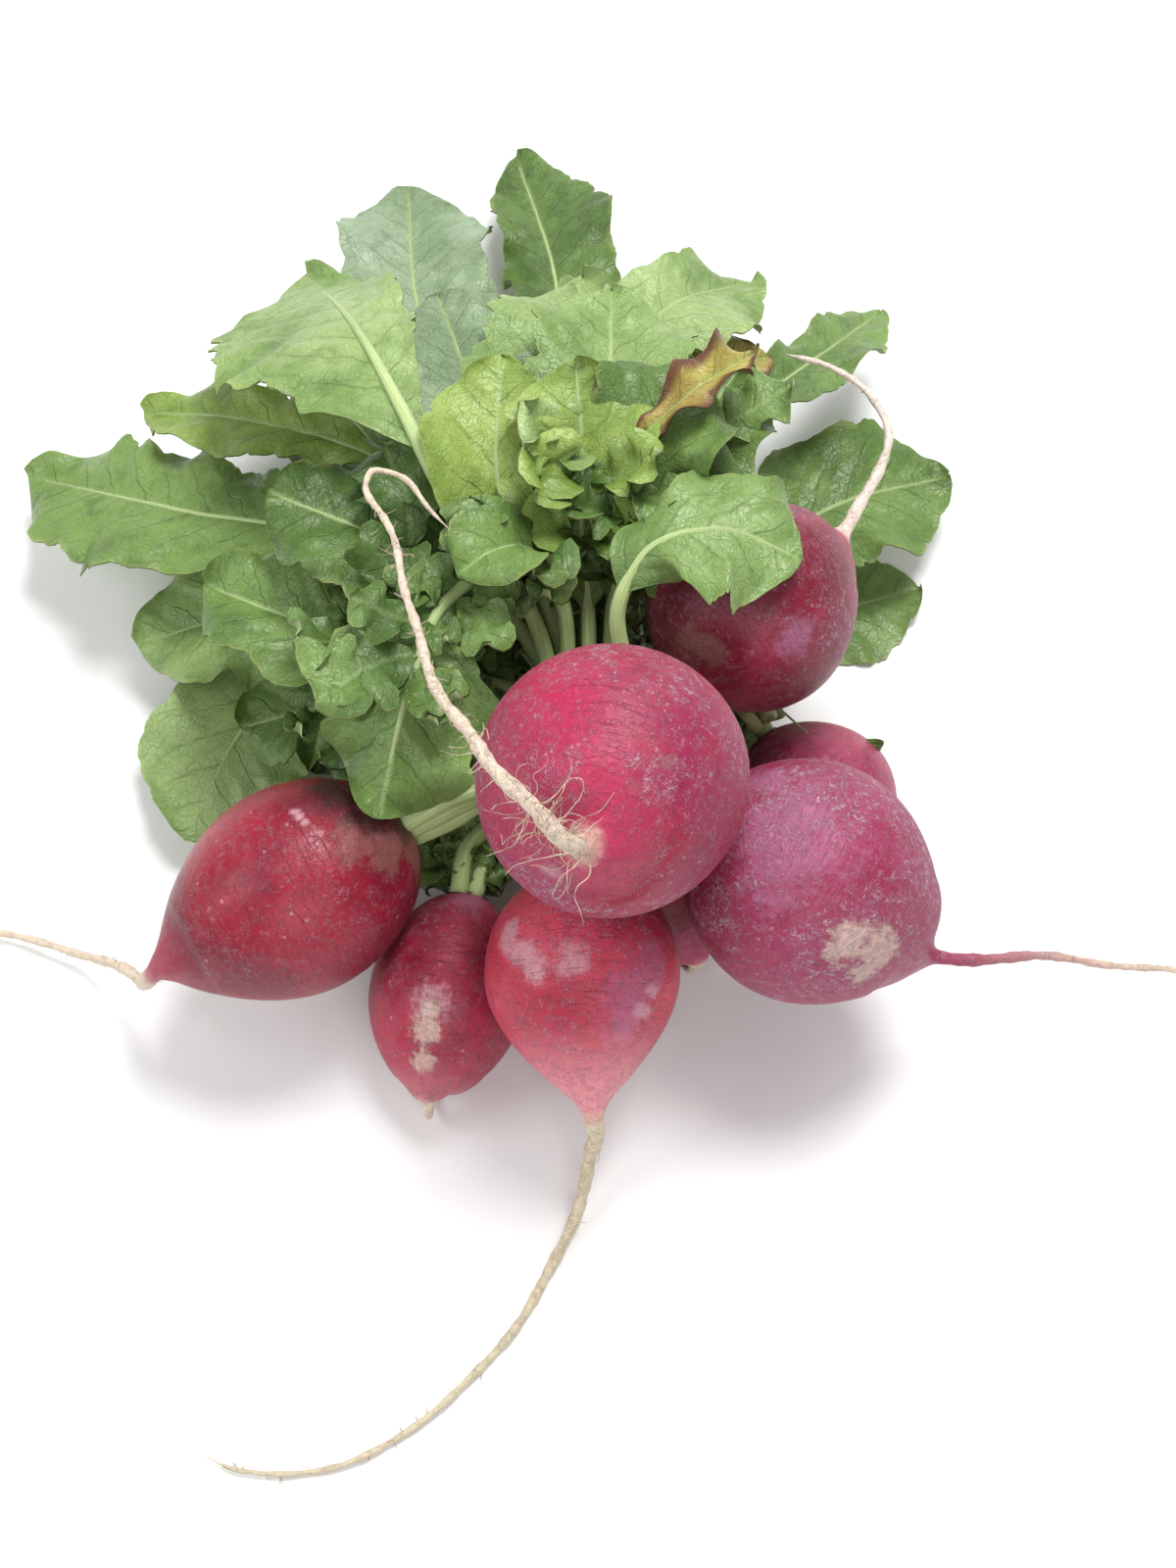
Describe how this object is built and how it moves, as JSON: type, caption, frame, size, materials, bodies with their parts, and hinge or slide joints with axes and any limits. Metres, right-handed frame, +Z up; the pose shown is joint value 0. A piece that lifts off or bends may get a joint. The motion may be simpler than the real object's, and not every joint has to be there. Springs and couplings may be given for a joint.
{
  "type": "bunch of radishes",
  "caption": "Fresh radish bunch lying on its side: round red roots with long pale tap roots, lobed green leaves on tied stalks.",
  "frame": {"origin": "middle of the bunch's foot on the table, at the bottom centre of its box", "axes": "+Z up, +Y from the roots towards the leaf tips, +X to the right for a viewer who faces the roots"},
  "size_m": [0.2022, 0.2534, 0.0833],
  "materials": {
    "root_magenta": "thin radish skin, satin, magenta red with silvery scuffs, paling to cream on the tap root",
    "root_deep_red": "thin radish skin, smooth satin, deep red with corky scuffs",
    "leaf_mid": "fresh leaf, upper side, soft satin mid green",
    "leaf_dark": "fresh leaf, upper side, dark green",
    "leaf_pale": "fresh leaf, underside, pale grey green with a pale midrib",
    "leaf_yellow": "fresh leaf, yellow green",
    "leaf_dry": "drying leaf, yellow with brown edges",
    "band": "plain tan rubber band"
  },
  "bodies": {
    "root": {"root_top": "root_magenta", "root_right": "root_magenta", "root_front": "root_magenta", "root_front_left": "root_magenta", "root_left": "root_deep_red", "root_upright": "root_deep_red", "root_behind": "root_magenta", "root_under": "root_magenta", "tie_band": "band", "leaf_hanging": "leaf_mid", "leaf_small_folded": "leaf_mid", "leaf_middle_top": "leaf_mid", "leaf_right_top": "leaf_dark", "leaf_over_upright": "leaf_pale", "leaf_upper_left_pale": "leaf_pale", "leaf_centre_cupped": "leaf_yellow", "leaf_centre_back": "leaf_mid", "leaf_right_ruffled": "leaf_mid", "leaf_left_dark": "leaf_dark", "leaf_back_left_mid": "leaf_pale", "leaf_centre_pale": "leaf_pale", "leaf_right_light": "leaf_pale", "leaf_left_curled": "leaf_yellow", "leaf_left_slim": "leaf_yellow", "leaf_back_middle": "leaf_mid", "leaf_dry_yellow": "leaf_dry", "leaf_beside_left": "leaf_dark", "leaf_left_big": "leaf_mid", "leaf_top_left_grey": "leaf_pale", "leaf_far_back": "leaf_dark", "leaf_right_pointed": "leaf_mid", "leaf_left_second": "leaf_mid", "leaf_back_left_under": "leaf_dark", "leaf_back_under": "leaf_dark", "leaf_right_broad": "leaf_mid", "leaf_left_low": "leaf_pale", "leaf_under_left": "leaf_dark", "leaf_table_left": "leaf_dark", "leaf_table_back": "leaf_dark", "leaf_right_low": "leaf_mid"}
  },
  "joints": []
}
